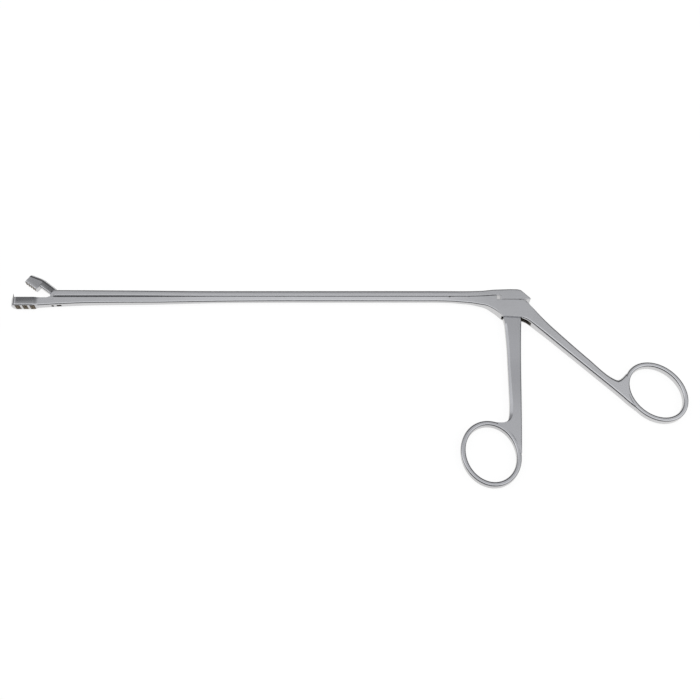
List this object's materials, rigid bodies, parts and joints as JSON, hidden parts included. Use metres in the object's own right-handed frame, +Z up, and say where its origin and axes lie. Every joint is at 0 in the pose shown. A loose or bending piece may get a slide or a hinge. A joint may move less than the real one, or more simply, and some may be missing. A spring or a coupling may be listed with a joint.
{
  "type": "uterine biopsy forceps",
  "caption": "Long sliding-shaft biopsy forceps in satin steel, lying on one side with open jaws: slotted basket below, toothed jaw above, finger rings at the rear.",
  "frame": {"origin": "on the axis of the front lever's pivot, at the lower flat side of the body, which is the end of the pivot pin", "axes": "the shaft runs along -X to the jaws, the handles reach to -Y, and +Z is up as the instrument lies on its side"},
  "size_m": [0.3549, 0.1172, 0.0065],
  "materials": {
    "satin_steel": "satin stainless steel, finely brushed along its length",
    "lever_steel": "satin stainless steel, finely brushed along the lever"
  },
  "bodies": {
    "frame": {"fixed_frame": "satin_steel", "lever_pivot_pin": "satin_steel", "jaw_pivot_pin": "satin_steel"},
    "bar": {"sliding_bar": "satin_steel", "jaw_drive_pin": "satin_steel"},
    "jaw": {"upper_jaw": "satin_steel"},
    "lever": {"front_lever": "lever_steel"}
  },
  "joints": [
    {"name": "lever_hinge", "type": "hinge", "parent": "frame", "child": "lever", "pos_m": [0, 0, 0.00325], "axis": [0, 0, 1], "range_deg": [0, 17]},
    {"name": "bar_slide", "type": "slide", "parent": "frame", "child": "bar", "axis": [-1, 0, 0], "range_m": [0, 0.00193]},
    {"name": "jaw_hinge", "type": "hinge", "parent": "frame", "child": "jaw", "pos_m": [-0.2413, 0.0044, 0.00325], "axis": [0, 0, 1], "range_deg": [0, 36.51]}
  ],
  "couplings": [
    {"joint": "bar_slide", "follows": "lever_hinge", "m_per_rad": 0.0064762},
    {"joint": "jaw_hinge", "follows": "lever_hinge", "ratio": 2.1471}
  ]
}
